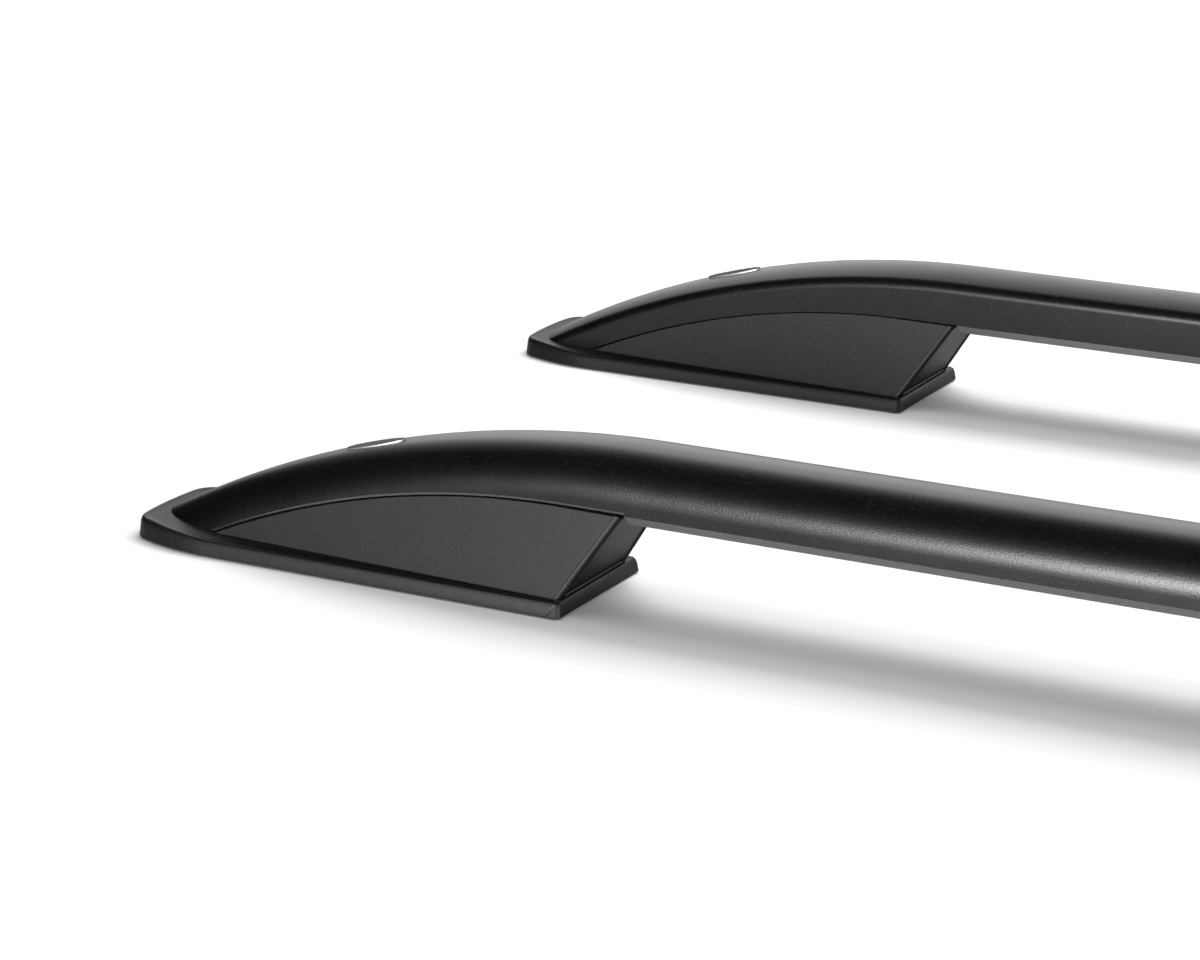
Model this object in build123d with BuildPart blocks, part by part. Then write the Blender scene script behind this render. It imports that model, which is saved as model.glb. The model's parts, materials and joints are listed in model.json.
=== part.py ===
from build123d import *
import math
import os

# A pair of car roof side rails. Each rail is a bent hollow aluminium extrusion whose two ends
# come down into moulded feet. The frame stands at the middle of the pair, on the roof, with X
# along the rails, the front ends at -X, the left rail at -Y and Z up. All sizes are millimetres.

# The pair
overall_length = 1700.0
rail_spacing = 392.0

# Rail section
rail_width = 52.0
rail_floor_width = 42.0
rail_height = 32.0
rail_wall = 2.5
lip_rise = 5.1
crown_radius = 70.0
outer_shoulder_radius = 22.0
inner_shoulder_radius = 6.0
underside_height = 45.5
chase_wall = 2.2
chase_depth = 9.5

# Bend and milled end of the rail
bend_radius = 546.0
saddle_radius = 472.0
nose_setback = 5.0
lip_setback = 46.0

# Foot shell
foot_length = 246.5
skirt_height = 7.0
skirt_ledge = 6.0
skirt_round = 3.0
skirt_lift = 0.5
nose_ledge = 3.5
nose_bulge = 2.0
shoulder_length = 50.0
panel_flare = 1.7
panel_draft = 10.6
panel_inset = 0.4
shell_wall = 2.5
saddle_gap = 0.6
boss_diameter = 10.0
rib_thickness = 1.8

# End cap
cap_lean = 34.0
cap_thickness = 3.0
cap_bevel = 2.0
cap_recess = 0.8
cap_frame = 4.0
cap_spigot_depth = 4.0
cap_spigot_wall = 1.8
bead_flat = 0.5

# Bracket, fasteners and gasket
bracket_thickness = 3.0
bracket_width = 30.0
bracket_setback = 62.0
bracket_bend = 3.0
riser_setback = 183.0
tongue_margin = 10.0
stud_setback = 80.0
stud_pitch = 80.0
nut_bore = 6.8
nut_collar = 15.0
nut_spigot = 11.0
nut_height = 6.0
rail_screw_diameter = 6.0
rail_screw_margin = 20.0
rail_screw_pitch = 38.0
rail_screw_head = 12.0
rail_screw_head_height = 4.0
shell_screw_setback = 105.0
shell_screw_pitch = 30.0
shell_screw_diameter = 4.0
shell_screw_head = 8.0
shell_screw_head_height = 2.2
shell_screw_reach = 9.0
gasket_thickness = 2.5
gasket_margin = 3.0
gasket_corner = 4.0
driver_margin = 8.0
window_clearance = 1.0
window_overhang = 14.0
hole_clearance = 0.3
fit_gap = 0.2

# Badge, a plain oval let into the crown of each front end
badge_length = 26.0
badge_width = 13.0
badge_sink = 0.8
badge_proud = 0.8
badge_setback = 118.0

# Heights and places that follow from the sizes above
tip = -overall_length / 2
crown_height = underside_height + rail_height
lip_height = underside_height + lip_rise
rail_end_height = skirt_height + fit_gap
bend_drop = crown_height - rail_end_height
bend_run = math.sqrt(bend_radius**2 - (bend_radius - bend_drop)**2)
bend_start = tip + nose_setback + bend_run
bend_centre = crown_height - bend_radius
bend_angle = math.degrees(math.acos(1 - crown_height / bend_radius))
saddle_drop = lip_height - rail_end_height
saddle_run = math.sqrt(saddle_radius**2 - (saddle_radius - saddle_drop)**2)
saddle_start = tip + lip_setback + saddle_run
lean_slope = math.tan(math.radians(cap_lean))
lean_cosine = math.cos(math.radians(cap_lean))
flare_slope = math.tan(math.radians(panel_flare))
draft_slope = math.tan(math.radians(panel_draft))
panel_front = rail_width / 2 - panel_inset + draft_slope * lip_height - flare_slope * foot_length
panel_rear = panel_front + flare_slope * foot_length
skirt_half = panel_rear + skirt_ledge
nose_half = rail_width / 2 + nose_ledge
foot_end = tip + foot_length
bead_front = foot_end - cap_thickness
bead_rear = foot_end + skirt_round + bead_flat
notch_end = foot_end + lean_slope * (lip_height - skirt_height) + saddle_gap
chase_width = rail_screw_diameter + fit_gap
chase_radius = bend_radius - rail_wall - chase_depth
bracket_top = gasket_thickness + bracket_thickness
stud_places = [(tip + stud_setback, 0), (tip + stud_setback + stud_pitch, 0)]
shell_screw_places = [
    (tip + shell_screw_setback, 0),
    (tip + shell_screw_setback + shell_screw_pitch, 0),
]
riser_front = tip + riser_setback
riser_back = riser_front + bracket_thickness
tongue_end = bend_start - tongue_margin
window_end = foot_end + window_overhang
rail_screw_places = [
    riser_front + rail_screw_margin,
    riser_front + rail_screw_margin + rail_screw_pitch,
]


def bend_height(x, radius):
    # height of an arc of this radius about the bend's centre, at a place along the rail
    return bend_centre + math.sqrt(radius**2 - (bend_start - x) ** 2)


def bend_plane(x, radius):
    # plane square to the bend below a place on the crown, facing up and out from the centre
    reach = radius / bend_radius
    rise = bend_height(x, bend_radius) - bend_centre
    return Plane(
        origin=(bend_start + reach * (x - bend_start), 0, bend_centre + reach * rise),
        x_dir=(0, 1, 0),
        z_dir=(x - bend_start, 0, rise),
    )


def foot_outline(inset, rear, rear_corner):
    # plan of the foot's base: blunt nose, rounded shoulders and parallel sides, set in all round
    front = tip + nose_bulge + inset
    half = skirt_half - inset
    with BuildSketch() as outline:
        with BuildLine():
            nose = ThreePointArc(
                (front, inset - nose_half), (tip + inset, 0), (front, nose_half - inset)
            )
            far = TangentArc((tip + shoulder_length, half), nose @ 1, tangent=(-1, 0))
            near = TangentArc((tip + shoulder_length, -half), nose @ 0, tangent=(-1, 0))
            Polyline(far @ 0, (rear, half), (rear, -half), near @ 0)
        make_face()
        fillet(outline.vertices().group_by(Axis.X)[0], gasket_corner + gasket_margin - inset)
        fillet(outline.vertices().group_by(Axis.X)[-1], rear_corner)
    return outline.sketch


def slant_plane(back):
    # plane of the foot's slanted inner end, set in by a distance and facing out
    return Plane(
        origin=(foot_end - back / lean_cosine, 0, skirt_height),
        x_dir=(0, 1, 0),
        z_dir=(1, 0, -lean_slope),
    )


def foot_block(inset, back, low):
    # wedge under the rail: curved top, drafted sides and a slanted end, all set in by the wall
    top = lip_height - saddle_gap - inset
    radius = saddle_radius - saddle_gap - inset
    sweep_angle = math.degrees(math.acos(1 - (top - low) / radius))
    rear = foot_end - back / lean_cosine
    rear_low = (rear + lean_slope * (low - skirt_height), low)
    rear_top = (rear + lean_slope * (top - skirt_height), top)
    with BuildPart() as block:
        with BuildSketch(Plane.XZ):
            with BuildLine():
                crest = JernArc((saddle_start, top), (-1, 0), radius, sweep_angle)
                Polyline(crest @ 1, rear_low, rear_top, (saddle_start, top))
            make_face()
        extrude(amount=skirt_half, both=True)
        for side in (-1, 1):
            side_plane = Plane(
                origin=(tip, side * (panel_front - inset), 0),
                z_dir=(-flare_slope, side, draft_slope),
            )
            split(bisect_by=side_plane, keep=Keep.BOTTOM)
    return block.part


# Flat seat that the badge lies in, square to the bend
badge_plane = bend_plane(tip + badge_setback, bend_radius - badge_sink)

# Outline of the rail's hollow section, with the two chase walls that the rail screws bite into
with BuildSketch(Plane.YZ) as rail_section:
    with BuildLine():
        crown_edge = crown_height - crown_radius + math.sqrt(crown_radius**2 - rail_width**2 / 4)
        crown = ThreePointArc(
            (-rail_width / 2, crown_edge), (0, crown_height), (rail_width / 2, crown_edge)
        )
        Polyline(
            crown @ 1,
            (rail_width / 2, lip_height),
            (rail_floor_width / 2, underside_height),
            (-rail_floor_width / 2, underside_height),
            (-rail_width / 2, lip_height),
            crown @ 0,
        )
    make_face()
    for side, radius in ((-1, outer_shoulder_radius), (1, inner_shoulder_radius)):
        shoulder = (side * rail_width / 2, crown_edge)
        fillet(rail_section.vertices().sort_by_distance(shoulder)[0], radius)
    offset(amount=-rail_wall, mode=Mode.SUBTRACT)
    chase_middle = crown_height - rail_wall - chase_depth / 2 + rail_wall / 4
    with Locations((0, chase_middle)):
        with GridLocations(chase_width + chase_wall, 0, 2, 1):
            Rectangle(chase_wall, chase_depth + rail_wall / 2)

# Left rail: straight run, two bends, and both ends milled to a saddle that sits over the foot.
# Its outer side is rounded and its inner side is flat, so the right rail is its mirror image.
with BuildPart() as rail:
    with BuildSketch(Plane.YZ):
        add(rail_section.sketch_local)
    extrude(amount=-bend_start, both=True)
    with BuildSketch(Plane.YZ.offset(bend_start)):
        add(rail_section.sketch_local)
    revolve(axis=Axis((bend_start, 0, bend_centre), (0, -1, 0)), revolution_arc=bend_angle)
    with BuildSketch(Plane.XZ):
        with BuildLine():
            saddle_angle = math.degrees(math.acos(1 - 2 * crown_height / saddle_radius))
            saddle = JernArc((saddle_start, lip_height), (-1, 0), saddle_radius, saddle_angle)
            Polyline(
                saddle @ 1,
                (notch_end, (saddle @ 1).Y),
                (notch_end, lip_height),
                (saddle_start, lip_height),
            )
        make_face()
        with Locations((tip, rail_end_height)):
            Rectangle(2 * lip_setback, 4 * crown_height, align=(Align.CENTER, Align.MAX))
    extrude(amount=rail_width, both=True, mode=Mode.SUBTRACT)
    split(bisect_by=Plane.YZ, keep=Keep.BOTTOM)
    mirror(about=Plane.YZ)
    with BuildSketch(badge_plane):
        Ellipse(badge_width / 2 + fit_gap, badge_length / 2 + fit_gap)
    extrude(amount=crown_height, mode=Mode.SUBTRACT)

with BuildPart() as right_rail:
    add(rail.part)
    mirror(about=Plane.XZ, mode=Mode.REPLACE)

# Skirt that runs round the foot, cut later between the shell and the end cap's bead
with BuildPart() as skirt:
    with BuildSketch(Plane.XY.offset(skirt_lift)):
        add(foot_outline(0, bead_rear, skirt_round))
    extrude(amount=skirt_height - skirt_lift)
    fillet(skirt.faces().sort_by(Axis.Z)[-1].edges(), skirt_round)

cavity = foot_block(shell_wall, cap_thickness / 2, -gasket_thickness)

# Bosses for the shell screws, each on a cross rib, trimmed to the shell's inside
with BuildPart() as boss_ribs:
    with Locations(Plane.XY.offset(bracket_top)):
        with Locations(*shell_screw_places):
            Cylinder(
                boss_diameter / 2, crown_height, align=(Align.CENTER, Align.CENTER, Align.MIN)
            )
    with Locations(Plane.XY.offset(bracket_top + shell_screw_diameter)):
        with Locations(*shell_screw_places):
            Box(
                rib_thickness,
                2 * skirt_half,
                crown_height,
                align=(Align.CENTER, Align.CENTER, Align.MIN),
            )
    add(cavity, mode=Mode.INTERSECT)

gasket_outline = foot_outline(gasket_margin, bead_front - gasket_margin, gasket_corner)

# Gasket, a rubber sole with openings for the studs, the screw heads and the screwdriver
with BuildPart() as gasket:
    with BuildSketch():
        add(gasket_outline)
    extrude(amount=gasket_thickness)
    with BuildSketch():
        with Locations(*stud_places):
            Circle(nut_spigot / 2 + hole_clearance)
        with Locations(*shell_screw_places):
            Circle(shell_screw_head / 2 + hole_clearance)
        with Locations(((riser_back + window_end) / 2, 0)):
            RectangleRounded(window_end - riser_back - driver_margin, bracket_width, bracket_bend)
    extrude(amount=gasket_thickness, mode=Mode.SUBTRACT)

# Foot shell: skirt and wedge in one moulding, hollow, open below and at its inner end
with BuildPart() as foot_shell:
    add(skirt.part)
    split(bisect_by=Plane.YZ.offset(bead_front), keep=Keep.BOTTOM)
    add(foot_block(0, cap_thickness, skirt_height - skirt_round))
    add(cavity, mode=Mode.SUBTRACT)
    with BuildSketch():
        add(gasket_outline)
    extrude(amount=gasket_thickness, mode=Mode.SUBTRACT)
    with BuildSketch(Plane.XY.offset(lip_height)):
        with Locations(((riser_front - window_clearance + window_end) / 2, 0)):
            RectangleRounded(
                window_end - riser_front + window_clearance,
                bracket_width + 2 * window_clearance,
                bracket_bend,
            )
    extrude(amount=-lip_height / 2, mode=Mode.SUBTRACT)
    add(boss_ribs.part)
    with BuildSketch(Plane.XY.offset(bracket_top)):
        with Locations(*shell_screw_places):
            Circle(shell_screw_diameter / 2)
    extrude(amount=shell_screw_reach, mode=Mode.SUBTRACT)

# End cap: bevelled slanted plate with a sunk face, a spigot into the shell and the skirt's bead
with BuildPart() as cap_sink:
    add(foot_block(cap_frame, 0, skirt_height + cap_frame))
    split(bisect_by=slant_plane(cap_recess), keep=Keep.TOP)

with BuildPart() as cap_spigot:
    add(foot_block(shell_wall + fit_gap, cap_thickness, skirt_height + fit_gap))
    add(foot_block(shell_wall + fit_gap + cap_spigot_wall, 0, 0), mode=Mode.SUBTRACT)
    split(bisect_by=slant_plane(cap_thickness + cap_spigot_depth), keep=Keep.TOP)

with BuildPart() as bead:
    add(skirt.part)
    split(bisect_by=Plane.YZ.offset(bead_front), keep=Keep.TOP)

with BuildPart() as end_cap:
    add(foot_block(0, 0, skirt_height))
    split(bisect_by=slant_plane(cap_thickness), keep=Keep.TOP)
    slant_axis = Axis((0, 0, 0), slant_plane(0).z_dir)
    slant_face = end_cap.faces().filter_by(slant_axis).sort_by(Axis.X)[-1]
    chamfer(slant_face.edges().sort_by(Axis.Z)[1:], cap_bevel)
    add(cap_sink.part, mode=Mode.SUBTRACT)
    add(cap_spigot.part)
    add(bead.part)

# Bracket: folded steel, its floor on the gasket and its tongue formed to the bend, inside the rail
with BuildPart() as bracket:
    with BuildSketch(Plane.XZ) as bracket_outline:
        with BuildLine():
            under_radius = chase_radius - bracket_thickness
            tongue_middle = (riser_back + tongue_end) / 2
            tongue_upper = ThreePointArc(
                (riser_front, bend_height(riser_front, chase_radius)),
                (tongue_middle, bend_height(tongue_middle, chase_radius)),
                (tongue_end, bend_height(tongue_end, chase_radius)),
            )
            tongue_lower = ThreePointArc(
                (riser_back, bend_height(riser_back, under_radius)),
                (tongue_middle, bend_height(tongue_middle, under_radius)),
                (tongue_end, bend_height(tongue_end, under_radius)),
            )
            Polyline(
                tongue_upper @ 0,
                (riser_front, bracket_top),
                (tip + bracket_setback, bracket_top),
                (tip + bracket_setback, gasket_thickness),
                (riser_back, gasket_thickness),
                tongue_lower @ 0,
            )
            Line(tongue_lower @ 1, tongue_upper @ 1)
        make_face()
        outer_bend = bracket_bend + bracket_thickness
        for corner, radius in (
            ((riser_front, bracket_top), bracket_bend),
            ((riser_back, gasket_thickness), outer_bend),
            (tongue_upper @ 0, outer_bend),
            (tongue_lower @ 0, bracket_bend),
        ):
            fillet(bracket_outline.vertices().sort_by_distance(corner)[0], radius)
    extrude(amount=bracket_width / 2, both=True)
    with BuildSketch(Plane.XY.offset(gasket_thickness)):
        with Locations(*stud_places):
            Circle(nut_spigot / 2 + hole_clearance)
        with Locations(*shell_screw_places):
            Circle(shell_screw_diameter / 2 + hole_clearance)
    extrude(amount=bracket_thickness, mode=Mode.SUBTRACT)
    for place in rail_screw_places:
        with BuildSketch(bend_plane(place, chase_radius)):
            Circle(rail_screw_diameter / 2 + hole_clearance)
        extrude(amount=2 * bracket_thickness, both=True, mode=Mode.SUBTRACT)
    fillet(bracket.edges().filter_by(Axis.Z).group_by(Axis.X)[0], 2 * bracket_bend)

# Clinch nuts pressed into the bracket's floor, which take the roof studs from below
with BuildPart() as clinch_nuts:
    with BuildSketch(Plane.XY.offset(gasket_thickness)):
        with Locations(*stud_places):
            Circle(nut_spigot / 2)
    extrude(amount=bracket_thickness)
    with BuildSketch(Plane.XY.offset(bracket_top)):
        with Locations(*stud_places):
            Circle(nut_collar / 2)
    extrude(amount=nut_height)
    with BuildSketch(Plane.XY.offset(gasket_thickness)):
        with Locations(*stud_places):
            Circle(nut_bore / 2)
    extrude(amount=bracket_thickness + nut_height, mode=Mode.SUBTRACT)

# Hexagon screws up through the tongue into the rail's chase
with BuildPart() as rail_screws:
    for place in rail_screw_places:
        with BuildSketch(bend_plane(place, under_radius - fit_gap)):
            RegularPolygon(rail_screw_head / 2, 6)
        extrude(amount=-rail_screw_head_height)
        with BuildSketch(bend_plane(place, under_radius - fit_gap)):
            Circle(rail_screw_diameter / 2)
        extrude(amount=bracket_thickness + chase_depth - rail_wall / 2)

# Pan-head screws up through the bracket's floor into the shell's bosses
with BuildPart() as shell_screws:
    with BuildSketch(Plane.XY.offset(gasket_thickness)):
        with Locations(*shell_screw_places):
            Circle(shell_screw_head / 2)
    extrude(amount=-shell_screw_head_height)
    with BuildSketch(Plane.XY.offset(gasket_thickness)):
        with Locations(*shell_screw_places):
            Circle((shell_screw_diameter - fit_gap) / 2)
    extrude(amount=bracket_thickness + shell_screw_reach - fit_gap)

# Badge: a plain oval plate with a bevelled edge
with BuildPart() as badge:
    with BuildSketch(badge_plane):
        Ellipse(badge_width / 2, badge_length / 2)
    extrude(amount=badge_sink + badge_proud)
    chamfer(badge.faces().sort_by(Axis.Z)[-1].edges(), badge_proud / 2)

os.makedirs("parts", exist_ok=True)
foot_pieces = {
    "foot_shell": foot_shell,
    "end_cap": end_cap,
    "bracket": bracket,
    "clinch_nuts": clinch_nuts,
    "rail_screws": rail_screws,
    "shell_screws": shell_screws,
    "sole_gasket": gasket,
}


def write(solid, name, across):
    # move a finished piece to its rail and write it out
    placed = solid.moved(Location((0, across, 0)))
    placed.label = name
    export_step(placed, f"parts/{name}.step")


write(rail.part, "left_rail", -rail_spacing / 2)
write(right_rail.part, "right_rail", rail_spacing / 2)
for side, across in (("left", -rail_spacing / 2), ("right", rail_spacing / 2)):
    write(badge.part, f"{side}_badge", across)
    for piece_name, piece in foot_pieces.items():
        write(piece.part, f"{side}_front_{piece_name}", across)
        with BuildPart() as rear_piece:
            add(piece.part)
            mirror(about=Plane.YZ, mode=Mode.REPLACE)
        write(rear_piece.part, f"{side}_rear_{piece_name}", across)
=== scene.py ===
import json
import math

import bpy
import bmesh
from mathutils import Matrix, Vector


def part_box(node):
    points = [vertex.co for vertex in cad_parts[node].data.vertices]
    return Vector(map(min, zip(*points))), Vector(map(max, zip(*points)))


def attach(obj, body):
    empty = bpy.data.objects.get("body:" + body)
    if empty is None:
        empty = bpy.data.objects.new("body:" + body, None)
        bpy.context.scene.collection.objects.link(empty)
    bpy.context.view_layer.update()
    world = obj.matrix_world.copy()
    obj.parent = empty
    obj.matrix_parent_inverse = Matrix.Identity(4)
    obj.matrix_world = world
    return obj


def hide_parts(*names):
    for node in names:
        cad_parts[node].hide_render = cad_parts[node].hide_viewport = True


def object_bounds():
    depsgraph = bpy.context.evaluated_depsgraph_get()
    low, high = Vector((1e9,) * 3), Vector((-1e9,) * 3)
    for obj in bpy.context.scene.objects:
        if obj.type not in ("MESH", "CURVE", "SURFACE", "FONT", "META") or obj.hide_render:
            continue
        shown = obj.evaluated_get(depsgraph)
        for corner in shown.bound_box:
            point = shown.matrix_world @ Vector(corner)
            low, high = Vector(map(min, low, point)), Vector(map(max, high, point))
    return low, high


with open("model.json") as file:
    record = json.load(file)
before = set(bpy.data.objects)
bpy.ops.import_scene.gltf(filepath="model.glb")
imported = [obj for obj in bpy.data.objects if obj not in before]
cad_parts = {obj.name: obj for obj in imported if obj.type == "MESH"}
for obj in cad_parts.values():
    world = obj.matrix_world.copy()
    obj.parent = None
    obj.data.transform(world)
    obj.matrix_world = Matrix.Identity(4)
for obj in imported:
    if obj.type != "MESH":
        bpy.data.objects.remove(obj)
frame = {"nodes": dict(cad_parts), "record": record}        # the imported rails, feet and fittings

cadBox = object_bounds()
scene = bpy.context.scene
scene.view_settings.view_transform = "Standard"

tip = cadBox[0][0]                                # front end of both feet, along X
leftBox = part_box("left_rail")
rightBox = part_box("right_rail")
railY = {"left": (leftBox[0][1] + leftBox[1][1]) / 2, "right": (rightBox[0][1] + rightBox[1][1]) / 2}
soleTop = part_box("left_front_sole_gasket")[1][2]
print("frame loaded, tip at", round(tip, 4), "rails at", railY)


# Small tools for drawing a profile vertex by vertex and finishing a mesh
weld = 1e-6        # vertices this close are merged
near = 1e-5        # vertices this close to a line are picked


def clearSelection():
    if bpy.context.mode != "OBJECT":
        bpy.ops.object.mode_set(mode="OBJECT")
    bpy.ops.object.select_all(action="DESELECT")


def wake(obj):
    clearSelection()
    obj.select_set(True)
    bpy.context.view_layer.objects.active = obj


def openMesh(obj):
    wake(obj)
    bpy.ops.object.mode_set(mode="EDIT")
    bpy.ops.mesh.select_all(action="SELECT")


def joinTo(obj, other):
    wake(obj)
    other.select_set(True)
    bpy.ops.object.join()


def startLine(name, point):
    clearSelection()
    bpy.ops.mesh.primitive_plane_add(size=0.01)
    obj = bpy.context.object
    obj.name = name
    bpy.ops.object.mode_set(mode="EDIT")
    bpy.ops.mesh.select_mode(type="VERT")
    bpy.ops.mesh.select_all(action="SELECT")
    bpy.ops.mesh.merge(type="CENTER")
    bpy.ops.transform.translate(value=point)
    return obj


def penAt(obj):
    mesh = bmesh.from_edit_mesh(obj.data)
    return next(v.co.copy() for v in mesh.verts if v.select)


def lineTo(obj, *points):
    for point in points:
        here = penAt(obj)
        step = [point[i] - here[i] for i in range(3)]
        bpy.ops.mesh.extrude_region_move(TRANSFORM_OT_translate={"value": step})


def arcBy(centre, axis, degrees, steps):
    # the spin tool turns left-handed, so the sign is changed to follow the right-hand rule
    bpy.ops.mesh.spin(steps=steps, angle=-math.radians(degrees), center=centre, axis=axis)


def closeOutline(fill=True):
    bpy.ops.mesh.select_all(action="SELECT")
    bpy.ops.mesh.remove_doubles(threshold=weld)
    if fill:
        bpy.ops.mesh.edge_face_add()


def pickVerts(obj, test):
    bpy.ops.mesh.select_mode(type="VERT")
    bpy.ops.mesh.select_all(action="DESELECT")
    mesh = bmesh.from_edit_mesh(obj.data)
    for v in mesh.verts:
        v.select = test(v.co)
    mesh.select_flush_mode()
    bmesh.update_edit_mesh(obj.data)


def pickEdges(obj, test):
    bpy.ops.mesh.select_mode(type="EDGE")
    bpy.ops.mesh.select_all(action="DESELECT")
    mesh = bmesh.from_edit_mesh(obj.data)
    for e in mesh.edges:
        e.select_set(test(e))
    bmesh.update_edit_mesh(obj.data)


def pickFaces(obj, test):
    bpy.ops.mesh.select_mode(type="FACE")
    bpy.ops.mesh.select_all(action="DESELECT")
    mesh = bmesh.from_edit_mesh(obj.data)
    mesh.normal_update()
    for f in mesh.faces:
        f.select_set(test(f))
    bmesh.update_edit_mesh(obj.data)


def faceOut():
    bpy.ops.mesh.select_all(action="SELECT")
    bpy.ops.mesh.remove_doubles(threshold=weld)
    bpy.ops.mesh.normals_make_consistent(inside=False)
    bpy.ops.object.mode_set(mode="OBJECT")


def copyOf(obj, name):
    twin = obj.copy()
    twin.data = obj.data.copy()
    twin.name = name
    scene.collection.objects.link(twin)
    return twin


def applyModifier(obj, kind, **settings):
    wake(obj)
    modifier = obj.modifiers.new(kind.lower(), kind)
    for key, value in settings.items():
        setattr(modifier, key, value)
    bpy.ops.object.modifier_apply(modifier=modifier.name)


def cutWith(obj, tool, keepTool=False):
    applyModifier(obj, "BOOLEAN", object=tool, operation="DIFFERENCE", solver="EXACT")
    if not keepTool:
        bpy.data.objects.remove(tool, do_unlink=True)


def sliceAt(obj, place, normal, keepFront):
    openMesh(obj)
    bpy.ops.mesh.bisect(
        plane_co=place,
        plane_no=normal,
        use_fill=True,
        clear_inner=keepFront,
        clear_outer=not keepFront,
    )
    faceOut()


def softenEdges(obj, width, segments, angle, clamp=True):
    applyModifier(
        obj,
        "BEVEL",
        width=width,
        segments=segments,
        use_clamp_overlap=clamp,
        limit_method="ANGLE",
        angle_limit=math.radians(angle),
        miter_outer="MITER_ARC",
    )


def smoothOff(obj, angle):
    wake(obj)
    bpy.ops.object.shade_smooth_by_angle(angle=math.radians(angle))
    applyModifier(obj, "WEIGHTED_NORMAL", keep_sharp=True, weight=80)


def shift(obj, step):
    wake(obj)
    bpy.ops.transform.translate(value=step)
    bpy.ops.object.transform_apply(location=True, rotation=True, scale=True)


def flip(obj, scale):
    wake(obj)
    bpy.ops.transform.resize(value=scale, center_override=(0, 0, 0))
    bpy.ops.object.transform_apply(location=True, rotation=True, scale=True)
    openMesh(obj)
    bpy.ops.mesh.normals_make_consistent(inside=False)
    bpy.ops.object.mode_set(mode="OBJECT")


# Sizes that the rail, the feet and the caps share
seat = {"footLength": 0.2465, "ledgeHeight": 0.007, "capLean": math.radians(34.0), "capThickness": 0.003}

footEnd = tip + seat["footLength"]
leanSlope = math.tan(seat["capLean"])
slantNormal = (math.cos(seat["capLean"]), 0, -math.sin(seat["capLean"]))

# Rail: section drawn on the bend's tangent plane, run out straight, spun at both ends and milled
rail = {
    "width": 0.052, "floorWidth": 0.042, "underside": 0.0455, "lip": 0.0506, "crown": 0.0775,
    "crownRadius": 0.070, "outerShoulder": 0.022, "innerShoulder": 0.006,
    "bendRadius": 0.546, "noseSetback": 0.005, "endHeight": 0.0072,
    "saddleRadius": 0.472, "lipSetback": 0.046, "notchGap": 0.0006,
    "edgeRound": 0.0007, "milledChamfer": 0.0014, "milledRise": 0.0003,
    "innerSteps": 10, "crownSteps": 36, "outerSteps": 26, "bendSteps": 64, "saddleSteps": 96,
}

bendDrop = rail["crown"] - rail["endHeight"]
bendStart = tip + rail["noseSetback"] + math.sqrt(
    rail["bendRadius"] ** 2 - (rail["bendRadius"] - bendDrop) ** 2)
bendCentre = rail["crown"] - rail["bendRadius"]
saddleDrop = rail["lip"] - rail["endHeight"]
saddleStart = tip + rail["lipSetback"] + math.sqrt(
    rail["saddleRadius"] ** 2 - (rail["saddleRadius"] - saddleDrop) ** 2)
notchEnd = footEnd + leanSlope * (rail["lip"] - seat["ledgeHeight"]) + rail["notchGap"]


def shoulderArc(radius):
    # place and sweep of a shoulder that runs smoothly from the upright side into the crown
    across = rail["width"] / 2 - radius
    crownCentre = rail["crown"] - rail["crownRadius"]
    height = crownCentre + math.sqrt((rail["crownRadius"] - radius) ** 2 - across ** 2)
    return across, height, math.degrees(math.atan2(height - crownCentre, across))


def makeRail():
    half = rail["width"] / 2
    innerAcross, innerHeight, innerTurn = shoulderArc(rail["innerShoulder"])
    outerAcross, outerHeight, outerTurn = shoulderArc(rail["outerShoulder"])
    x = bendStart
    along = (1, 0, 0)
    obj = startLine("left_rail_skin", (x, rail["floorWidth"] / 2, rail["underside"]))
    lineTo(obj, (x, half, rail["lip"]), (x, half, innerHeight))
    arcBy((x, innerAcross, innerHeight), along, innerTurn, rail["innerSteps"])
    crownTurn = 180 - innerTurn - outerTurn
    arcBy((x, 0, rail["crown"] - rail["crownRadius"]), along, crownTurn, rail["crownSteps"])
    arcBy((x, -outerAcross, outerHeight), along, outerTurn, rail["outerSteps"])
    lineTo(
        obj,
        (x, -half, rail["lip"]),
        (x, -rail["floorWidth"] / 2, rail["underside"]),
        (x, rail["floorWidth"] / 2, rail["underside"]),
    )
    closeOutline(fill=False)
    bpy.ops.mesh.extrude_region_move(TRANSFORM_OT_translate={"value": (-2 * x, 0, 0)})
    turn = math.degrees(math.acos(1 - rail["crown"] / rail["bendRadius"]))
    for end in (1, -1):
        pickVerts(obj, lambda co: abs(co.x - end * x) < near)
        arcBy((end * x, 0, bendCentre), (0, 1, 0), -end * turn, rail["bendSteps"])
    bpy.ops.mesh.select_all(action="SELECT")
    bpy.ops.mesh.remove_doubles(threshold=weld)
    bpy.ops.mesh.fill_holes(sides=0)
    faceOut()
    return obj


def saddleOutline(name, y, rise):
    low = -0.08                # well below the floor
    reach = tip - 0.03         # well past the nose
    top = rail["lip"] + rise
    radius = rail["saddleRadius"] + rise
    drop = math.degrees(math.acos(1 - (top - rail["endHeight"]) / radius))
    tool = startLine(name, (notchEnd, y, low))
    lineTo(tool, (notchEnd, y, top), (saddleStart, y, top))
    arcBy((saddleStart, y, top - radius), (0, 1, 0), -drop, rail["saddleSteps"])
    lineTo(tool, (reach, y, rail["endHeight"]), (reach, y, low), (notchEnd, y, low))
    closeOutline(fill=False)
    return tool


def makeSaddleTool():
    side = 0.08                # past both sides of the rail
    tool = saddleOutline("saddle_tool", -side, rail["milledRise"])
    bpy.ops.mesh.edge_face_add()
    bpy.ops.mesh.extrude_region_move(TRANSFORM_OT_translate={"value": (0, 2 * side, 0)})
    faceOut()
    return tool


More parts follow.
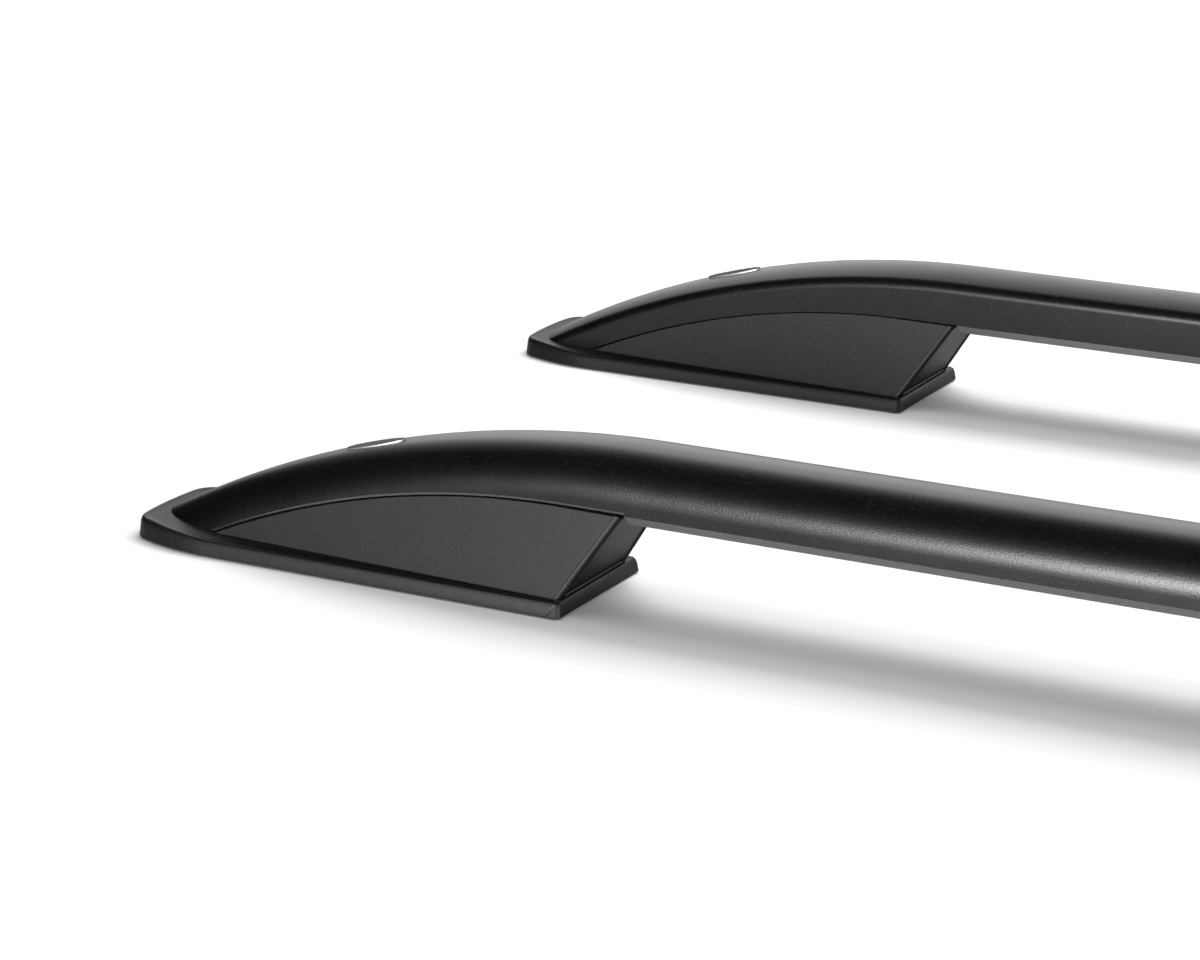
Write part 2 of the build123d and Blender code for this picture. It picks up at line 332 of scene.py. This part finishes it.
def makeEdgeTool():
    # takes a slanting strip off the milled edge on the outer side
    over = 0.004               # how far the tool stands out of the rail
    under = 0.001              # how far it reaches below the milled face
    within = rail["milledChamfer"] + under - rail["width"] / 2
    beyond = -over - rail["width"] / 2
    tool = saddleOutline("edge_tool", within, rail["milledRise"] - under)
    bpy.ops.object.mode_set(mode="OBJECT")
    outer = saddleOutline("edge_tool_outer", beyond, rail["milledRise"] + rail["milledChamfer"] + over)
    joinTo(tool, outer)
    bpy.ops.object.mode_set(mode="EDIT")
    bpy.ops.mesh.select_mode(type="EDGE")
    bpy.ops.mesh.select_all(action="SELECT")
    bpy.ops.mesh.bridge_edge_loops()
    for y in (within, beyond):
        pickVerts(tool, lambda co: abs(co.y - y) < near)
        bpy.ops.mesh.edge_face_add()
    faceOut()
    return tool


def isInnerFlat(f):
    return f.normal.y > 0.9999


leftRail = makeRail()
for makeTool in (makeSaddleTool, makeEdgeTool):
    frontTool = makeTool()
    rearTool = copyOf(frontTool, "rear_tool")
    flip(rearTool, (-1, 1, 1))
    cutWith(leftRail, frontTool)
    cutWith(leftRail, rearTool)
openMesh(leftRail)
pickFaces(leftRail, isInnerFlat)
bpy.ops.mesh.dissolve_limited(angle_limit=math.radians(0.05))
faceOut()
softenEdges(leftRail, rail["edgeRound"], segments=3, angle=50)
bpy.ops.object.shade_smooth_by_angle(angle=math.radians(35))
openMesh(leftRail)
pickFaces(leftRail, isInnerFlat)
bpy.ops.mesh.faces_shade_flat()
bpy.ops.object.mode_set(mode="OBJECT")
applyModifier(leftRail, "WEIGHTED_NORMAL", keep_sharp=True, weight=80)
rightRail = copyOf(leftRail, "right_rail_skin")
flip(rightRail, (1, -1, 1))
shift(leftRail, (0, railY["left"], 0))
shift(rightRail, (0, railY["right"], 0))
print("rails drawn, faces", len(leftRail.data.polygons))


# Foot: a drafted wedge under the rail on a skirt with a soft rim, hollow and open below
foot = {
    "skirtHalf": 0.04107, "noseHalf": 0.0295, "noseBulge": 0.002, "shoulderLength": 0.050,
    "noseCorner": 0.008, "leastCorner": 0.0008, "rearCorner": 0.0018, "outlineSteps": 6,
    "beadReach": 0.0035, "rearRake": 0.6, "seamSetback": 0.001,
    "rim": (
        (0, 0.0005), (0.0004, 0.0030), (0.0009, 0.0053), (0.0014, 0.0067), (0.0020, 0.0075),
        (0.0028, 0.0078), (0.0042, 0.0075), (0.0062, 0.0071),
    ),
    "wallFoot": 0.0046, "rimLow": 0.0055, "noseReach": 0.0095, "noseRise": 0.0024, "noseBlend": 0.05,
    "panelFront": 0.02775, "flare": math.tan(math.radians(1.7)), "draft": math.tan(math.radians(10.6)),
    "valley": 0.0056, "rootDepth": 0.002, "wall": 0.0025, "saddleGap": 0.0005,
    "soleMargin": 0.003, "soleCorner": 0.003, "toolDrop": 0.004,
    "edgeRound": 0.0008, "seamRound": 0.0005,
}
beadFront = footEnd - seat["capThickness"]
beadRear = footEnd + foot["beadReach"]


def makeWedge(name, inset, back, low):
    top = rail["lip"] - foot["saddleGap"] - inset
    radius = rail["saddleRadius"] - foot["saddleGap"] - inset
    rear = footEnd - back / math.cos(seat["capLean"])
    drop = math.degrees(math.acos(1 - (top - low) / radius))
    side = 0.05                # wider than the foot, and sliced to the draft below
    obj = startLine(name, (saddleStart, -side, top))
    arcBy((saddleStart, -side, top - radius), (0, 1, 0), -drop, rail["saddleSteps"])
    lineTo(
        obj,
        (rear + leanSlope * (low - seat["ledgeHeight"]), -side, low),
        (rear + leanSlope * (top - seat["ledgeHeight"]), -side, top),
        (saddleStart, -side, top),
    )
    closeOutline()
    bpy.ops.mesh.extrude_region_move(TRANSFORM_OT_translate={"value": (0, 2 * side, 0)})
    faceOut()
    for hand in (-1, 1):
        place = (tip, hand * (foot["panelFront"] - inset), 0)
        sliceAt(obj, place, (-foot["flare"], hand, foot["draft"]), keepFront=False)
    return obj


def makeSkirtPlan(name, inset, rear, low, rearCorner):
    half = foot["skirtHalf"] - inset
    front = tip + foot["noseBulge"] + inset
    noseHalf = foot["noseHalf"] - inset
    run = tip + foot["shoulderLength"] - front
    dip = half - noseHalf
    radius = (run ** 2 + dip ** 2) / (2 * dip)
    turn = math.degrees(math.asin(run / radius))
    noseRadius = (noseHalf ** 2 + foot["noseBulge"] ** 2) / (2 * foot["noseBulge"])
    noseTurn = math.degrees(math.asin(noseHalf / noseRadius))
    sideX = tip + foot["shoulderLength"]
    obj = startLine(name, (rear, -half, low))
    lineTo(obj, (rear, half, low), (sideX, half, low))
    arcBy((sideX, half - radius, low), (0, 0, 1), turn, foot["outlineSteps"])
    arcBy((tip + inset + noseRadius, 0, low), (0, 0, 1), 2 * noseTurn, foot["outlineSteps"])
    arcBy((sideX, radius - half, low), (0, 0, 1), turn, foot["outlineSteps"])
    lineTo(obj, (rear, -half, low))
    closeOutline()
    pickVerts(obj, lambda co: abs(co.x - front) < near and abs(abs(co.y) - noseHalf) < near)
    noseCorner = max(foot["noseCorner"] - inset, foot["leastCorner"])
    bpy.ops.mesh.bevel(affect="VERTICES", offset=noseCorner, segments=8)
    pickVerts(obj, lambda co: abs(co.x - rear) < near)
    bpy.ops.mesh.bevel(affect="VERTICES", offset=rearCorner, segments=1)
    return obj


def makeSkirt():
    # one outline per level of the rim, bridged from the floor line up and over to the valley
    rings = []
    for inset, height in foot["rim"]:
        rear = beadRear - inset * foot["rearRake"]
        rings.append(makeSkirtPlan("skirt", inset, rear, height, foot["rearCorner"]))
        bpy.ops.mesh.select_all(action="SELECT")
        bpy.ops.mesh.delete(type="ONLY_FACE")
        bpy.ops.object.mode_set(mode="OBJECT")
    count = len(rings[0].data.vertices)
    obj = rings[0]
    for ring in rings[1:]:
        joinTo(obj, ring)
    bpy.ops.object.mode_set(mode="EDIT")
    for level in range(len(rings) - 1):
        pair = (level, level + 1)
        pickEdges(obj, lambda e: all(v.index // count in pair for v in e.verts))
        bpy.ops.mesh.bridge_edge_loops()
    for level in (0, len(rings) - 1):
        pickEdges(obj, lambda e: all(v.index // count == level for v in e.verts))
        bpy.ops.mesh.edge_face_add()
    # the nose ramps up to the rail's end, and only the foot of its wall stays
    pickVerts(obj, lambda co: co.z < foot["wallFoot"])
    bpy.ops.mesh.hide(unselected=False)
    pickVerts(obj, lambda co: co.x < tip + foot["noseReach"] and co.z > foot["rimLow"])
    bpy.ops.transform.translate(
        value=(0, 0, foot["noseRise"]),
        use_proportional_edit=True,
        proportional_size=foot["noseBlend"],
        use_proportional_connected=True,
    )
    bpy.ops.mesh.reveal(select=False)
    faceOut()
    return obj


skirt = makeSkirt()
bead = copyOf(skirt, "bead")
seamPlace = (footEnd + foot["seamSetback"], 0, seat["ledgeHeight"])
sliceAt(skirt, seamPlace, slantNormal, keepFront=False)
sliceAt(bead, seamPlace, slantNormal, keepFront=True)

toolFloor = -foot["toolDrop"]
recessRear = beadFront - foot["soleMargin"]
wedgeRoot = foot["valley"] - foot["rootDepth"]
shell = makeWedge("left_front_foot_moulding", 0, seat["capThickness"], wedgeRoot)
cavity = makeWedge("cavity_tool", foot["wall"], seat["capThickness"] / 2, toolFloor)
recess = makeSkirtPlan("recess_tool", foot["soleMargin"], recessRear, toolFloor, foot["soleCorner"])
bpy.ops.mesh.select_all(action="SELECT")
bpy.ops.mesh.extrude_region_move(TRANSFORM_OT_translate={"value": (0, 0, soleTop - toolFloor)})
faceOut()
cutWith(shell, cavity, keepTool=True)
cutWith(skirt, cavity)
cutWith(skirt, recess)
softenEdges(shell, foot["edgeRound"], segments=3, angle=40)
softenEdges(skirt, foot["seamRound"], segments=2, angle=50, clamp=False)
joinTo(shell, skirt)
smoothOff(shell, angle=40)
print("foot moulding drawn, faces", len(shell.data.polygons))


# End cap: slanted plate with a bevel strip and a sunk face, standing on the bead
cap = {
    "bevel": 0.003, "bevelSteps": 4, "frame": 0.0007, "sink": 0.0008, "sinkWall": 0.0003, "edgeRound": 0.0003,
}


def makeCap():
    low = seat["ledgeHeight"]
    obj = makeWedge("left_front_end_cover", 0, 0, low)
    inner = (footEnd - seat["capThickness"] / math.cos(seat["capLean"]), 0, low)
    sliceAt(obj, inner, slantNormal, keepFront=True)
    openMesh(obj)

    def slantFace(f):
        facing = f.normal.x * slantNormal[0] + f.normal.z * slantNormal[2]
        return facing > 0.999

    pickFaces(obj, slantFace)
    mesh = bmesh.from_edit_mesh(obj.data)
    rims = [
        e.index for e in mesh.edges
        if any(f.select for f in e.link_faces) and max(v.co.z for v in e.verts) > low + near
    ]
    pickEdges(obj, lambda e: e.index in rims)
    bpy.ops.mesh.bevel(offset=cap["bevel"], segments=cap["bevelSteps"], affect="EDGES")
    pickFaces(obj, slantFace)
    bpy.ops.mesh.inset(thickness=cap["frame"])
    bpy.ops.mesh.inset(thickness=cap["sinkWall"], depth=-cap["sink"])
    faceOut()
    return obj


cover = makeCap()
softenEdges(cover, cap["edgeRound"], segments=2, angle=30)
softenEdges(bead, foot["seamRound"], segments=2, angle=50)
joinTo(cover, bead)
smoothOff(cover, angle=40)
print("end cap drawn, faces", len(cover.data.polygons))


# Badge: plain oval, domed, let into the crown
badge = {
    "length": 0.034, "width": 0.011, "setback": 0.1265, "sink": 0.0008, "proud": 0.0009, "edgeRound": 0.00025,
    "wallShare": 0.45, "bevelShare": 0.35, "bevelInset": 0.0004, "domeShare": 0.2, "domeInset": 0.0008,
}


def makeBadge():
    place = tip + badge["setback"]
    rise = math.sqrt(rail["bendRadius"] ** 2 - (bendStart - place) ** 2)
    turn = math.asin((bendStart - place) / rail["bendRadius"])
    thick = badge["sink"] + badge["proud"] * badge["wallShare"]
    clearSelection()
    bpy.ops.mesh.primitive_cylinder_add(vertices=64, radius=0.5, depth=1)
    obj = bpy.context.object
    obj.name = "left_badge_plate"
    openMesh(obj)
    bpy.ops.transform.resize(value=(badge["length"], badge["width"], thick))
    bpy.ops.transform.translate(value=(0, 0, thick / 2 - badge["sink"]))
    pickFaces(obj, lambda f: f.normal.z > 0.99)
    bpy.ops.mesh.inset(thickness=badge["bevelInset"], depth=badge["proud"] * badge["bevelShare"])
    bpy.ops.mesh.inset(thickness=badge["domeInset"], depth=badge["proud"] * badge["domeShare"])
    faceOut()
    softenEdges(obj, badge["edgeRound"], segments=2, angle=20)
    openMesh(obj)
    bpy.ops.transform.rotate(value=turn, orient_axis="Y", center_override=(0, 0, 0))
    bpy.ops.transform.translate(value=(place, 0, bendCentre + rise))
    faceOut()
    smoothOff(obj, angle=40)
    return obj


plate = makeBadge()
print("badge drawn")


# Finishes: each noise is given as its scale and detail
def newFinish(name, colour, metallic=0, roughness=0.5):
    material = bpy.data.materials.new(name)
    material.use_nodes = True
    shader = material.node_tree.nodes["Principled BSDF"]
    shader.inputs["Base Color"].default_value = (*colour, 1)
    shader.inputs["Metallic"].default_value = metallic
    shader.inputs["Roughness"].default_value = roughness
    return material, shader


def addNoise(material, scale, detail):
    nodes, links = material.node_tree.nodes, material.node_tree.links
    coords = nodes.new("ShaderNodeTexCoord")
    noise = nodes.new("ShaderNodeTexNoise")
    noise.inputs["Scale"].default_value = scale
    noise.inputs["Detail"].default_value = detail
    links.new(coords.outputs["Object"], noise.inputs["Vector"])
    return noise


def addRange(material, source, low, high, outLow, outHigh):
    nodes, links = material.node_tree.nodes, material.node_tree.links
    remap = nodes.new("ShaderNodeMapRange")
    remap.inputs["From Min"].default_value = low
    remap.inputs["From Max"].default_value = high
    remap.inputs["To Min"].default_value = outLow
    remap.inputs["To Max"].default_value = outHigh
    links.new(source, remap.inputs["Value"])
    return remap.outputs["Result"]


def addBump(material, shader, source, strength, distance):
    nodes, links = material.node_tree.nodes, material.node_tree.links
    bump = nodes.new("ShaderNodeBump")
    bump.inputs["Strength"].default_value = strength
    bump.inputs["Distance"].default_value = distance
    links.new(source, bump.inputs["Height"])
    links.new(bump.outputs["Normal"], shader.inputs["Normal"])


def addColours(material, shader, source, finish):
    nodes, links = material.node_tree.nodes, material.node_tree.links
    ramp = nodes.new("ShaderNodeValToRGB")
    for place, tone in enumerate(("dark", "light")):
        ramp.color_ramp.elements[place].position = finish["flecks"][place]
        ramp.color_ramp.elements[place].color = (*finish[tone], 1)
    links.new(source, ramp.inputs["Fac"])
    links.new(ramp.outputs["Color"], shader.inputs["Base Color"])


def addGloss(material, shader, source, finish):
    gloss = addRange(material, source, *finish["glossSpan"], *finish["gloss"])
    material.node_tree.links.new(gloss, shader.inputs["Roughness"])


railCoat = {
    "dark": (0.003, 0.003, 0.0032), "light": (0.06, 0.06, 0.06), "flecks": (0.62, 0.78),
    # painted reflection: a paler colour for faces turned downward, standing in for the floor they reflect
    "paintedFloorReflection": (0.24, 0.24, 0.24), "paintedReflectionFacing": (-0.3, -0.6),
    "grain": (1100, 2), "cloud": (60, 3), "glossSpan": (0.3, 0.7), "gloss": (0.315, 0.34),
    "specular": 0.34, "bump": (0.12, 0.0005),
}


def makeRailCoat():
    # satin powder coat: fine peel, a few pale flecks, slightly uneven gloss
    material, shader = newFinish("satin powder coat", railCoat["dark"])
    shader.inputs["Specular IOR Level"].default_value = railCoat["specular"]
    grain = addNoise(material, *railCoat["grain"])
    addColours(material, shader, grain.outputs["Fac"], railCoat)
    cloud = addNoise(material, *railCoat["cloud"])
    addGloss(material, shader, cloud.outputs["Fac"], railCoat)
    addBump(material, shader, grain.outputs["Fac"], *railCoat["bump"])
    # the faces turned downward, the two lower flats, are painted paler: a painted reflection of the pale
    # floor below
    nodes, links = material.node_tree.nodes, material.node_tree.links
    facing = nodes.new("ShaderNodeNewGeometry")
    split = nodes.new("ShaderNodeSeparateXYZ")
    links.new(facing.outputs["Normal"], split.inputs["Vector"])
    below = addRange(material, split.outputs["Z"], *railCoat["paintedReflectionFacing"], 0, 1)
    blend = nodes.new("ShaderNodeMix")
    blend.data_type = "RGBA"
    links.new(below, blend.inputs["Factor"])
    links.new(shader.inputs["Base Color"].links[0].from_socket, blend.inputs["A"])
    blend.inputs["B"].default_value = (*railCoat["paintedFloorReflection"], 1)
    links.new(blend.outputs["Result"], shader.inputs["Base Color"])
    return material


footPlastic = {
    "dark": (0.003, 0.003, 0.0032), "light": (0.028, 0.028, 0.028), "flecks": (0.5, 0.74),
    "grain": (1300, 4), "cloud": (90, 4), "glossSpan": (0.3, 0.7), "gloss": (0.43, 0.45),
    "specular": 0.26, "bump": (0.14, 0.0005),
}


def makeFootPlastic():
    # moulded plastic with a fine spark-eroded grain
    material, shader = newFinish("grained black plastic", footPlastic["dark"])
    shader.inputs["Specular IOR Level"].default_value = footPlastic["specular"]
    grain = addNoise(material, *footPlastic["grain"])
    addColours(material, shader, grain.outputs["Fac"], footPlastic)
    cloud = addNoise(material, *footPlastic["cloud"])
    addGloss(material, shader, cloud.outputs["Fac"], footPlastic)
    addBump(material, shader, grain.outputs["Fac"], *footPlastic["bump"])
    return material


platedSteel = {
    "bracket": {
        "dark": (0.45, 0.44, 0.40), "light": (0.54, 0.528, 0.48), "flecks": (0.3, 0.7), "streaks": (260, 5),
    },
    "fastener": {
        "dark": (0.52, 0.52, 0.53), "light": (0.624, 0.624, 0.636), "flecks": (0.3, 0.7), "streaks": (420, 5),
    },
    "stretch": (0.15, 1, 1), "glossSpan": (0.3, 0.7), "gloss": (0.28, 0.46),
}


def makePlatedSteel(kind):
    # zinc plate with rolling streaks along X
    finish = platedSteel[kind]
    material, shader = newFinish(f"{kind} zinc", finish["dark"], metallic=1)
    noise = addNoise(material, *finish["streaks"])
    mapping = material.node_tree.nodes.new("ShaderNodeMapping")
    mapping.inputs["Scale"].default_value = platedSteel["stretch"]
    coords = noise.inputs["Vector"].links[0].from_socket
    material.node_tree.links.new(coords, mapping.inputs["Vector"])
    material.node_tree.links.new(mapping.outputs["Vector"], noise.inputs["Vector"])
    addColours(material, shader, noise.outputs["Fac"], finish)
    addGloss(material, shader, noise.outputs["Fac"], platedSteel)
    return material


soleRubber = {
    "dark": (0.012, 0.012, 0.012), "light": (0.026, 0.026, 0.026), "flecks": (0.35, 0.7),
    "grain": (900, 3), "roughness": 0.75, "bump": (0.2, 0.0003),
}


def makeSoleRubber():
    material, shader = newFinish("sole rubber", soleRubber["dark"], roughness=soleRubber["roughness"])
    grain = addNoise(material, *soleRubber["grain"])
    addColours(material, shader, grain.outputs["Fac"], soleRubber)
    addBump(material, shader, grain.outputs["Fac"], *soleRubber["bump"])
    return material


badgeChrome = {
    "dark": (0.22, 0.22, 0.225), "light": (0.32, 0.32, 0.325), "flecks": (0.3, 0.7),
    "edgeTint": (0.12, 0.12, 0.125), "scuffs": (700, 4), "glossSpan": (0.35, 0.7), "gloss": (0.48, 0.56),
}


def makeBadgeChrome():
    material, shader = newFinish("badge chrome", badgeChrome["dark"], metallic=1)
    shader.inputs["Specular Tint"].default_value = (*badgeChrome["edgeTint"], 1)
    scuffs = addNoise(material, *badgeChrome["scuffs"])
    addGloss(material, shader, scuffs.outputs["Fac"], badgeChrome)
    addColours(material, shader, scuffs.outputs["Fac"], badgeChrome)
    return material


finishes = {
    "rail_coat": makeRailCoat(),
    "foot_plastic": makeFootPlastic(),
    "bracket_steel": makePlatedSteel("bracket"),
    "fastener_steel": makePlatedSteel("fastener"),
    "sole_rubber": makeSoleRubber(),
    "badge_chrome": makeBadgeChrome(),
}


def dress(obj, slot):
    obj.data.materials.clear()
    obj.data.materials.append(finishes[slot])


def settle(obj, node, slot):
    dress(obj, slot)
    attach(obj, "root")
    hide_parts(node)


for entry in frame["record"]["subparts"]:
    dress(frame["nodes"][entry["node"]], entry["material_slot"])

settle(leftRail, "left_rail", "rail_coat")
settle(rightRail, "right_rail", "rail_coat")
for side, y in railY.items():
    badgeCopy = copyOf(plate, f"{side}_badge_oval")
    shift(badgeCopy, (0, y, 0))
    settle(badgeCopy, f"{side}_badge", "badge_chrome")
    for end, scale in (("front", 1), ("rear", -1)):
        for source, label in ((shell, "foot_shell"), (cover, "end_cap")):
            twin = copyOf(source, f"{side}_{end}_{label}_moulding")
            if scale < 0:
                flip(twin, (-1, 1, 1))
            shift(twin, (0, y, 0))
            settle(twin, f"{side}_{end}_{label}", "foot_plastic")
for spare in (plate, shell, cover):
    bpy.data.objects.remove(spare, do_unlink=True)
print("pieces placed and dressed")


# Studio: pale floor, white surround, soft lamps
studio = {
    "floor": 30.0, "floorDrop": 0.0003, "floorColour": (0.9, 0.9, 0.9), "floorInGloss": (0.5, 0.5, 0.5),
    "floorLift": (0.055, 0.9), "liftFrom": 0.5, "liftTo": 1.4, "liftOval": (0.45, 1, 1),
    "fill": 0.25, "ceiling": 0.02, "horizon": 1.7,
    "sheetTop": (0.5, 0.9), "sheetEnds": (("X", -0.8, -0.5), ("Y", 0, 0.35)),
}


def makeFloor():
    clearSelection()
    bpy.ops.mesh.primitive_plane_add(size=studio["floor"], location=(0, 0, -studio["floorDrop"]))
    floor = bpy.context.object
    floor.name = "studio_floor"
    material, shader = newFinish("studio floor", studio["floorColour"], roughness=0.9)
    shader.inputs["Specular IOR Level"].default_value = 0
    nodes, links = material.node_tree.nodes, material.node_tree.links
    coords = nodes.new("ShaderNodeTexCoord")
    oval = nodes.new("ShaderNodeVectorMath")
    oval.operation = "MULTIPLY"
    oval.inputs[1].default_value = studio["liftOval"]
    links.new(coords.outputs["Object"], oval.inputs[0])
    reach = nodes.new("ShaderNodeVectorMath")
    reach.operation = "LENGTH"
    links.new(oval.outputs[0], reach.inputs[0])
    lift = addRange(
        material, reach.outputs["Value"], studio["liftFrom"], studio["liftTo"], *studio["floorLift"])
    path = nodes.new("ShaderNodeLightPath")
    glow = nodes.new("ShaderNodeMath")
    glow.operation = "MULTIPLY"
    links.new(lift, glow.inputs[1])
    links.new(path.outputs["Is Camera Ray"], glow.inputs[0])
    # the sheet is duller in the rails' gloss than to the eye
    paper = nodes.new("ShaderNodeMix")
    paper.data_type = "RGBA"
    paper.inputs["A"].default_value = (*studio["floorColour"], 1)
    paper.inputs["B"].default_value = (*studio["floorInGloss"], 1)
    links.new(path.outputs["Is Glossy Ray"], paper.inputs["Factor"])
    links.new(paper.outputs["Result"], shader.inputs["Base Color"])
    shader.inputs["Emission Color"].default_value = (1, 1, 1, 1)
    links.new(glow.outputs[0], shader.inputs["Emission Strength"])
    floor.data.materials.append(material)


def makeSurround():
    world = bpy.data.worlds.new("studio")
    scene.world = world
    world.use_nodes = True
    nodes, links = world.node_tree.nodes, world.node_tree.links
    back = nodes["Background"]
    coords = nodes.new("ShaderNodeTexCoord")
    split = nodes.new("ShaderNodeSeparateXYZ")
    links.new(coords.outputs["Generated"], split.inputs["Vector"])
    ramp = nodes.new("ShaderNodeMapRange")
    ramp.interpolation_type = "SMOOTHSTEP"
    ramp.inputs["From Min"].default_value, ramp.inputs["From Max"].default_value = studio["sheetTop"]
    ramp.inputs["To Min"].default_value = studio["horizon"]
    ramp.inputs["To Max"].default_value = studio["ceiling"]
    links.new(split.outputs["Z"], ramp.inputs["Value"])
    # the sheet stands behind the rails: it ends to the left and before it turns to the front
    sheet = ramp.outputs["Result"]
    for axis, low, high in studio["sheetEnds"]:
        edge = nodes.new("ShaderNodeMapRange")
        edge.interpolation_type = "SMOOTHSTEP"
        edge.inputs["From Min"].default_value = low
        edge.inputs["From Max"].default_value = high
        links.new(split.outputs[axis], edge.inputs["Value"])
        trim = nodes.new("ShaderNodeMath")
        trim.operation = "MULTIPLY"
        links.new(sheet, trim.inputs[0])
        links.new(edge.outputs["Result"], trim.inputs[1])
        sheet = trim.outputs[0]
    path = nodes.new("ShaderNodeLightPath")
    mirrored = nodes.new("ShaderNodeMath")
    mirrored.operation = "MAXIMUM"
    links.new(path.outputs["Is Glossy Ray"], mirrored.inputs[0])
    links.new(path.outputs["Is Transmission Ray"], mirrored.inputs[1])
    plain = nodes.new("ShaderNodeMix")
    plain.inputs["A"].default_value = studio["fill"]
    links.new(mirrored.outputs[0], plain.inputs["Factor"])
    links.new(sheet, plain.inputs["B"])
    seen = nodes.new("ShaderNodeMix")
    seen.inputs["B"].default_value = 1.0
    links.new(path.outputs["Is Camera Ray"], seen.inputs["Factor"])
    links.new(plain.outputs["Result"], seen.inputs["A"])
    back.inputs["Color"].default_value = (1, 1, 1, 1)
    links.new(seen.outputs["Result"], back.inputs["Strength"])


lamps = {
    "overhead": {"at": (-0.2, 0, 2.2), "aim": (-0.2, 0, 0), "size": (2.6, 1.2), "watts": 17},
    "back": {"at": (-0.3, 1.4, 2.3), "aim": (-0.3, 0, 0), "size": (3.0, 1.3), "watts": 74},
    "low front card": {
        "at": (0.32, -3.0, 0.36), "aim": (0.32, -0.2, 0.05), "size": (3.1, 1.0), "watts": 620, "card": True,
    },
}


def makeLamps():
    for name, lamp in lamps.items():
        bpy.ops.object.light_add(type="AREA", location=lamp["at"])
        light = bpy.context.object
        light.name = name
        light.data.shape = "RECTANGLE"
        light.data.size, light.data.size_y = lamp["size"]
        light.data.energy = lamp["watts"]
        towards = [lamp["aim"][i] - lamp["at"][i] for i in range(3)]
        flat = math.hypot(towards[0], towards[1])
        pitch = math.atan2(flat, -towards[2])
        light.rotation_euler = (pitch, 0, math.atan2(-towards[0], towards[1]))
        # a lit card only shows in the gloss, the soft lamps only light the surfaces
        light.visible_glossy = lamp.get("card", False)
        light.visible_diffuse = not light.visible_glossy


camera = {"at": (0.1591, -1.6015, 0.553), "pitch": 17.239, "yaw": 28.376, "lens": 106.82, "sensor": 36}


def makeCamera():
    bpy.ops.object.camera_add(location=camera["at"])
    view = bpy.context.object
    view.rotation_euler = (math.radians(90 - camera["pitch"]), 0, math.radians(camera["yaw"]))
    view.data.sensor_fit = "HORIZONTAL"
    view.data.sensor_width = camera["sensor"]
    view.data.lens = camera["lens"]
    scene.camera = view


makeFloor()
makeSurround()
makeLamps()
makeCamera()
print("studio set")
